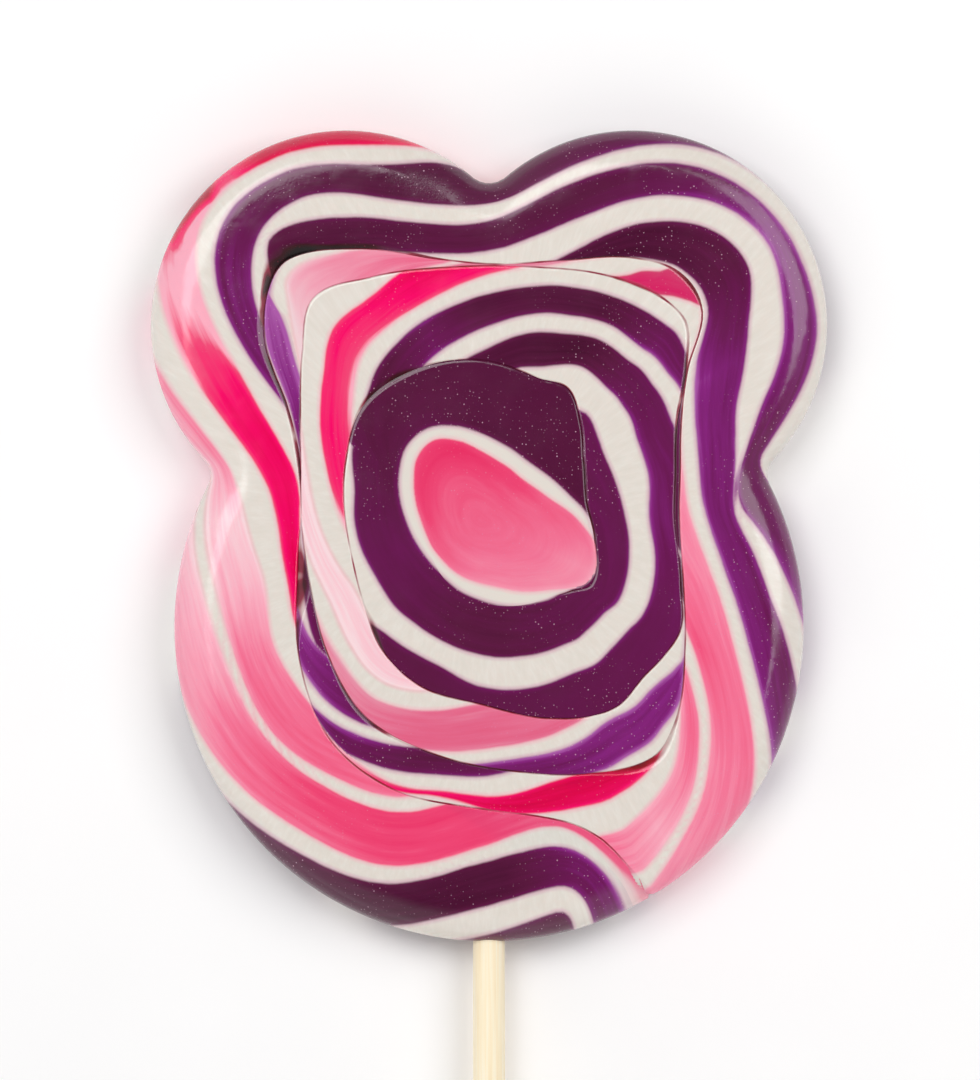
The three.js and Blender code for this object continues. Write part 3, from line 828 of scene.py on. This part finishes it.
def bubbles_and_glints(tree, values, place):
    """Pale specks up to 0.25 mm: air under the face, grains by the seams, painted glints near the rim."""
    cells = add(tree, "TexVoronoi", {"Vector": place, "Scale": BUBBLES_AND_GLINTS / MM, "Randomness": 1.0})
    size = add(tree, "SeparateColor", [cells.outputs["Color"]])
    # The biggest bubble's radius is 0.30 of its place's width.
    past_edge = add(tree, "Math", [size, -0.30, cells.outputs["Distance"]], operation="MULTIPLY_ADD")
    speck = add(tree, "MapRange", [past_edge, -0.10, 0.0, 1.0, 0.0], interpolation_type="SMOOTHSTEP")
    patches = add(tree, "TexNoise", {"Vector": place, "Scale": BUBBLE_AND_GLINT_PATCHES / MM, "Detail": 3.0})
    by_seam = add(tree, "MapRange", [values["seam_mm"], 0.3, 1.4, 0.16, 0.0])
    # Near the rim more specks: painted glints where the frosted shoulder catches the light.
    glints_by_rim = add(tree, "MapRange", [values["rim_mm"], 3.0, 9.0, 0.10, 0.0])
    likely = add(tree, "Math", [add(tree, "Math", [patches, by_seam]), glints_by_rim])
    here = add(tree, "MapRange", [likely, 0.44, 0.62, 0.0, 1.0], interpolation_type="SMOOTHSTEP")
    shown = add(tree, "Math", [here, size.outputs["Green"]], operation="MULTIPLY")
    return add(tree, "Math", [speck, shown], operation="MULTIPLY")


def painted_seam_shade(tree, values, place):
    """Painted shade in the fold between two turns: deep in the openings, coming and going elsewhere."""
    share = add(tree, "Math", [values["seam_mm"], values["seam_reach"]], operation="DIVIDE")
    line = add(tree, "MapRange", [share, 0.3, 1.0, 1.0, 0.0], interpolation_type="SMOOTHSTEP")
    wander = add(tree, "TexNoise", {"Vector": place, "Scale": SEAM_STRETCHES / MM, "Detail": 2.0})
    lift = add(tree, "MapRange", [wander, 0.35, 0.65, 0.25, 1.5])
    shade = add(tree, "Math", [values["seam_shade"], lift], operation="MULTIPLY", use_clamp=True)
    return add(tree, "Math", [line, shade], operation="MULTIPLY", use_clamp=True)


def striped_sugar(tree, values, place, colours):
    """The coloured strands, with air in them, and the white ones between, with edges that waver."""
    colour, fringe, is_pink = coloured_sugar(tree, values, colours)
    white = white_sugar(tree, values, colours, fringe)
    dusky = add(tree, "MixRGB", [values["dusk"], colour, (*colours.dusk, 1)])
    # The specks show up less in pink and red sugar than in plum.
    strength = add(tree, "MapRange", [is_pink, 0.0, 1.0, 0.8, 0.3])
    specks = add(tree, "Math", [bubbles_and_glints(tree, values, place), strength], operation="MULTIPLY")
    speckled = add(tree, "MixRGB", [specks, dusky, (*colours.speck, 1)])
    waver = streaks(tree, values, WAVER_LENGTH, WAVERS_ACROSS)
    wavered = add(tree, "Math", [waver, 0.24, values["edge_mm"]], operation="MULTIPLY_ADD")
    whiteness = add(tree, "MapRange", [wavered, -0.12, 0.30, 0.0, 1.0], interpolation_type="SMOOTHSTEP")
    return add(tree, "MixRGB", [whiteness, speckled, white])


def pressed_finish(tree, values, place, fold):
    """The relief and roughness that the mould left: slow ripples, and fine pits in patches by the rim."""
    ripple = add(tree, "TexNoise", {"Vector": place, "Scale": RIPPLES / MM, "Detail": 2.0})
    patches = add(tree, "TexNoise", {
        "Vector": place, "Scale": FROST_PATCHES / MM, "Detail": 6.0, "Roughness": 0.65})
    uneven = add(tree, "MapRange", [patches, 0.42, 0.60, 0.10, 1.0])
    shoulder = add(tree, "MapRange", [values["rim_mm"], 4.0, 9.0, 1.0, 0.0],
                   interpolation_type="SMOOTHSTEP")
    frost = add(tree, "Math", [uneven, shoulder], operation="MULTIPLY")
    pits = add(tree, "TexNoise", {"Vector": place, "Scale": PITS / MM, "Detail": 1.0})
    pitting = add(tree, "Math", [pits, frost], operation="MULTIPLY")
    relief = add(tree, "Math", [pitting, 0.20, ripple], operation="MULTIPLY_ADD")
    bump = add(tree, "Bump", {"Height": relief, "Strength": 0.25, "Distance": 0.4 * MM})
    gloss = add(tree, "MapRange", [ripple, 0.3, 0.7, 0.08, 0.15])
    frosted = add(tree, "Math", [frost, 0.10, gloss], operation="MULTIPLY_ADD")
    roughness = add(tree, "Math", [fold, 0.15, frosted], operation="MULTIPLY_ADD")
    return bump, roughness


def boiled_sugar(colours):
    """Boiled sugar, pulled and pressed while warm: it shines like glass and glows a little from within."""
    material, tree = new_material("boiled_sugar")
    values = {name: add(tree, "Attribute", attribute_name=name).outputs["Fac"] for name in SUGAR_VALUES}
    place = add(tree, "TexCoord").outputs["Object"]
    striped = striped_sugar(tree, values, place, colours)
    # Painted shade in the folds between turns, over a darker tint of the sugar: near black in the openings.
    fold = painted_seam_shade(tree, values, place)
    fold_shade_and_tint = add(tree, "ValToRGB", [fold], stops=(
        (0.0, (1, 1, 1)), (0.45, colours.fold_shade_and_tint), (1.0, colours.deep_fold_shade)))
    shaded_in_folds = add(tree, "MixRGB", [1.0, striped, fold_shade_and_tint], blend_type="MULTIPLY")
    bump, roughness = pressed_finish(tree, values, place, fold)
    shader = add(tree, "BsdfPrincipled", {
        "Base Color": shaded_in_folds, "Roughness": roughness, "IOR": 1.5, "Normal": bump,
        "Subsurface Weight": 0.12, "Subsurface Radius": (1.0, 0.45, 0.4), "Subsurface Scale": 0.8 * MM})
    add(tree, "OutputMaterial", {"Surface": shader})
    return material


def birch_stick(colours):
    """Turned birch, cut clean and left bare: pale, matt, with fine fibres along its length."""
    material, tree = new_material("bare_birch")
    place = add(tree, "TexCoord").outputs["Object"]
    drawn = add(tree, "Mapping", {"Vector": place, "Scale": (1.0, ALONG_GRAIN, 1.0)})
    fibres = add(tree, "TexNoise", {
        "Vector": drawn, "Scale": WOOD_FIBRES / MM, "Detail": 5.0, "Roughness": 0.65})
    figure = add(tree, "TexNoise", {"Vector": drawn, "Scale": WOOD_FIGURE / MM, "Detail": 2.0})
    stripes = add(tree, "Math", [figure, 0.4], operation="MULTIPLY")
    both = add(tree, "Math", [fibres, 0.6, stripes], operation="MULTIPLY_ADD")
    wood = add(tree, "ValToRGB", [both], stops=(
        (0.3, colours.wood_dark), (0.5, colours.wood), (0.7, colours.wood_light)))
    bump = add(tree, "Bump", {"Height": fibres, "Strength": 0.35, "Distance": 0.1 * MM})
    shader = add(tree, "BsdfPrincipled", {
        "Base Color": wood, "Roughness": 0.62, "IOR": 1.45, "Normal": bump})
    add(tree, "OutputMaterial", {"Surface": shader})
    return material


def painted_floor(colours):
    """A smooth white painted board, faintly mottled by its roller."""
    material, tree = new_material("painted_board")
    place = add(tree, "TexCoord").outputs["Object"]
    mottle = add(tree, "TexNoise", {"Vector": place, "Scale": ROLLER_MOTTLE / MM})
    paint = add(tree, "ValToRGB", [mottle], stops=((0.3, colours.floor), (0.7, colours.floor_light)))
    shader = add(tree, "BsdfPrincipled", {"Base Color": paint, "Roughness": 0.6})
    add(tree, "OutputMaterial", {"Surface": shader})
    return material


# ---- the stick ----
def stick_mesh(facets, rings, chamfer):
    """A turned rod along Y with chamfered ends, a little thinner here and there."""
    radius = (STICK_HIGH.x - STICK_LOW.x) / 2
    middle = (STICK_HIGH + STICK_LOW) / 2
    reach = np.linspace(STICK_LOW.y + chamfer, STICK_HIGH.y - chamfer, rings)
    wave = sum(np.sin(reach * rate + start) for rate, start in STICK_WAVES)    # from -2 to 2
    size = radius * (1 - STICK_UNEVENNESS * (2 + wave) / 4)
    reach = np.concatenate([[STICK_LOW.y], reach, [STICK_HIGH.y]])
    size = np.concatenate([[size[0] - chamfer], size, [size[-1] - chamfer]])
    points = []
    for y, r in zip(reach, size):
        for k in range(facets):
            angle = 2 * math.pi * k / facets
            points.append((middle.x + r * math.cos(angle), y, middle.z + r * math.sin(angle)))
    faces = [tuple(range(facets))]
    for ring in range(len(reach) - 1):
        for k in range(facets):
            here = ring * facets + k
            aside = ring * facets + (k + 1) % facets
            faces.append((here, here + facets, aside + facets, aside))
    last = (len(reach) - 1) * facets
    faces.append(tuple(last + k for k in reversed(range(facets))))
    mesh = bpy.data.meshes.new("stick_rod")
    mesh.from_pydata([tuple(MM * value for value in point) for point in points], [], faces)
    mesh.shade_smooth()
    for face in (mesh.polygons[0], mesh.polygons[-1]):
        face.use_smooth = False
    return mesh


# ---- settings that a user would change ----
def colour_setting(name, colour, description):
    """A colour setting with its default."""
    return FloatVectorProperty(name=name, description=description, subtype="COLOR", size=3, min=0, max=1,
                               default=linear(colour))


class LollipopSizes(bpy.types.PropertyGroup):
    """How finely the pieces are made, and how far the stick's ends are bevelled."""

    front_rows: IntProperty(name="Front rows", description="Rows of faces across the rope's front",
                            default=38, min=8, max=60)
    back_rows: IntProperty(name="Back rows", description="Rows of faces across the rope's back",
                           default=20, min=4, max=40)
    stick_facets: IntProperty(name="Stick facets", description="Faces round the stick", default=48, min=12)
    stick_rings: IntProperty(name="Stick rings", description="Rings along the stick", default=90, min=2)
    stick_chamfer: FloatProperty(name="Stick chamfer", description="Bevel at the stick's ends",
                                 default=0.3 * MM, min=0, unit="LENGTH")


class LollipopColours(bpy.types.PropertyGroup):
    """The colours of the sugar, the stick and the floor."""

    white: colour_setting("White", "#E4DCD3", "Pulled white sugar")
    white_dull: colour_setting("White, duller", "#E0D8CE", "Pulled white sugar's darker ribs")
    white_bright: colour_setting("White, brighter", "#E9E3DB", "Pulled white sugar's paler ribs")
    plum_dark: colour_setting("Dark plum", "#48112F", "Plum sugar where it is thickest")
    plum: colour_setting("Plum", "#5C1A40", "Plum sugar")
    plum_pale: colour_setting("Pale plum", "#6C1A54", "Plum sugar where it thins")
    violet: colour_setting("Violet", "#88267E", "Plum sugar where it is thin")
    lilac: colour_setting("Lilac", "#AC58A8", "Plum sugar at its thinnest")
    pink_deep: colour_setting("Deep pink", "#EC2A62", "Pink sugar where it is thick")
    pink: colour_setting("Pink", "#F24A78", "Pink sugar")
    pink_soft: colour_setting("Soft pink", "#F7799B", "Pink sugar where it thins")
    pink_pale: colour_setting("Pale pink", "#FCAEC1", "Pink sugar drawn thin over white")
    pink_white: colour_setting("Pinkish white", "#FBDCE0", "Pink sugar at its thinnest")
    red_deep: colour_setting("Deep red", "#B40032", "Red sugar where it is thick")
    red: colour_setting("Red", "#E4004C", "Red sugar")
    red_pink: colour_setting("Pinkish red", "#FA0A6A", "Red sugar where it thins")
    plum_fringe: colour_setting("Plum fringe", "#C97BA6", "Plum bled into white")
    pink_fringe: colour_setting("Pink fringe", "#F7A3B8", "Pink bled into white")
    dusk: colour_setting("Dusk", "#8C3A5C", "What the greyer strands are mixed with")
    # Also the colour of the painted glints by the rim.
    speck: colour_setting("Air", "#D8A9C0", "Air bubbles under the face")
    # Painted shade in the folds between turns, over a darker tint of the sugar; near black in the openings.
    fold_shade_and_tint: colour_setting("Crease", "#A8405A", "What a fold between two turns tints the sugar with")
    deep_fold_shade: colour_setting("Deep crease", "#38161A", "What the deepest folds tint the sugar with")
    wood: colour_setting("Wood", "#FFEFCD", "The bare stick")
    wood_dark: colour_setting("Wood grain", "#F5DCB0", "The stick's darker fibres")
    wood_light: colour_setting("Pale wood", "#FFF9E6", "The stick's paler fibres")
    floor: colour_setting("Floor", "#FDFCFC", "The painted floor")
    floor_light: colour_setting("Floor, paler", "#FFFEFE", "The painted floor's paler mottle")


class StudioSettings(bpy.types.PropertyGroup):
    """The lamps and the camera."""

    lamp_power: FloatProperty(name="Lamps", description="Power that the softboxes take their shares of",
                              default=4.7, min=0, unit="POWER")
    sky: FloatProperty(name="Fill", description="Strength of the even light all round", default=0.78, min=0)
    camera_height: FloatProperty(name="Camera height", description="Lens to floor", default=1.4,
                                 unit="LENGTH")


# ---- operators ----
def add_piece(context, name, mesh, material, node):
    """Links a finished mesh, hides the CAD part that it stands for, and says what it rides on."""
    piece = bpy.data.objects.new(name, mesh)
    context.scene.collection.objects.link(piece)
    mesh.materials.append(material)
    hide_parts(node)
    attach(piece, "root")
    return piece


class LOLLIPOP_OT_candy(bpy.types.Operator):
    """Build the coiled and pressed sugar"""

    bl_idname = "lollipop.candy"
    bl_label = "Candy"

    def execute(self, context):
        sizes = context.scene.lollipop_sizes
        mesh = build_candy_mesh(sizes.front_rows, sizes.back_rows)
        material = boiled_sugar(context.scene.lollipop_colours)
        add_piece(context, "candy_coil", mesh, material, "candy")
        return {"FINISHED"}


class LOLLIPOP_OT_stick(bpy.types.Operator):
    """Build the wooden stick"""

    bl_idname = "lollipop.stick"
    bl_label = "Stick"

    def execute(self, context):
        sizes = context.scene.lollipop_sizes
        mesh = stick_mesh(sizes.stick_facets, sizes.stick_rings, sizes.stick_chamfer / MM)
        material = birch_stick(context.scene.lollipop_colours)
        add_piece(context, "stick_rod", mesh, material, "stick")
        return {"FINISHED"}


class LOLLIPOP_OT_stage(bpy.types.Operator):
    """Add a pale floor, soft lamps and the camera"""

    bl_idname = "lollipop.stage"
    bl_label = "Stage"

    def execute(self, context):
        settings = context.scene.lollipop_studio
        add_floor(context)
        add_lamps(context, settings)
        add_sky(context, settings)
        add_camera(context, settings)
        context.scene.view_settings.view_transform = "Standard"
        return {"FINISHED"}


def add_floor(context):
    """The painted board that the candy lies on."""
    half = FLOOR_SIZE / 2
    mesh = bpy.data.meshes.new("floor")
    corners = ((-half, -half), (half, -half), (half, half), (-half, half))
    mesh.from_pydata([(x, y, -FLOOR_GAP) for x, y in corners], [], [(0, 1, 2, 3)])
    floor = bpy.data.objects.new("floor", mesh)
    mesh.materials.append(painted_floor(context.scene.lollipop_colours))
    context.scene.collection.objects.link(floor)


def add_lamps(context, settings):
    """Two big softboxes that face the candy."""
    target = (CANDY_LOW + CANDY_HIGH) / 2 * MM
    for i, (direction, size, share) in enumerate(LAMPS):
        light = bpy.data.lights.new(f"softbox_{i}", "AREA")
        light.energy = settings.lamp_power * share
        light.size = size
        lamp = bpy.data.objects.new(f"softbox_{i}", light)
        away = Vector(direction).normalized()
        lamp.location = target + away * LAMP_DISTANCE
        lamp.rotation_euler = away.to_track_quat("Z", "Y").to_euler()
        context.scene.collection.objects.link(lamp)


def add_sky(context, settings):
    """An even light all round, by height and a little stronger from one side."""
    world = bpy.data.worlds.new("studio")
    world.use_nodes = True
    tree = world.node_tree
    towards = add(tree, "TexCoord")
    up = add(tree, "SeparateXYZ", [towards]).outputs["Z"]
    by_height = add(tree, "ValToRGB", [up], stops=[(height, (share,) * 3) for height, share in SKY])
    even = add(tree, "Math", [by_height, settings.sky], operation="MULTIPLY")
    side = add(tree, "VectorMath", [towards, SIDE_LIGHT], operation="DOT_PRODUCT").outputs["Value"]
    more = add(tree, "Math", [side, 1.0], operation="ADD")
    strength = add(tree, "Math", [even, more], operation="MULTIPLY")
    background = tree.nodes["Background"]
    background.inputs["Color"].default_value = (1, 1, 1, 1)
    tree.links.new(strength.outputs[0], background.inputs["Strength"])
    context.scene.world = world


def add_camera(context, settings):
    """A long lens straight above the candy's face."""
    lens = bpy.data.cameras.new("camera")
    lens.sensor_width = SENSOR
    lens.lens = SENSOR * (settings.camera_height - CANDY_HIGH.z * MM) / PICTURE_HEIGHT
    camera = bpy.data.objects.new("camera", lens)
    camera.location = (*PICTURE_CENTRE, settings.camera_height)
    context.scene.collection.objects.link(camera)
    context.scene.camera = camera


class LOLLIPOP_PT_panel(bpy.types.Panel):
    """Lists the steps that build the lollipop"""

    bl_label = "Bear Lollipop"
    bl_idname = "LOLLIPOP_PT_panel"
    bl_space_type = "VIEW_3D"
    bl_region_type = "UI"
    bl_category = "Lollipop"

    def draw(self, context):
        for operator in OPERATORS:
            self.layout.operator(operator.bl_idname)
        for name in SETTINGS:
            settings = getattr(context.scene, name)
            for key in settings.bl_rna.properties.keys():
                if key not in ("rna_type", "name"):
                    self.layout.prop(settings, key)


OPERATORS = (LOLLIPOP_OT_candy, LOLLIPOP_OT_stick, LOLLIPOP_OT_stage)
SETTINGS = {
    "lollipop_sizes": LollipopSizes,
    "lollipop_colours": LollipopColours,
    "lollipop_studio": StudioSettings,
}


def register():
    """Adds the settings, operators and panel to Blender."""
    for cls in (*SETTINGS.values(), *OPERATORS, LOLLIPOP_PT_panel):
        bpy.utils.register_class(cls)
    for name, cls in SETTINGS.items():
        setattr(bpy.types.Scene, name, PointerProperty(type=cls))


def unregister():
    """Takes them out again."""
    for name in SETTINGS:
        delattr(bpy.types.Scene, name)
    for cls in (LOLLIPOP_PT_panel, *OPERATORS, *SETTINGS.values()):
        bpy.utils.unregister_class(cls)


def main():
    """Builds the lollipop and its stage."""
    register()
    bpy.ops.lollipop.candy()
    bpy.ops.lollipop.stick()
    bpy.ops.lollipop.stage()


if __name__ == "__main__":
    main()
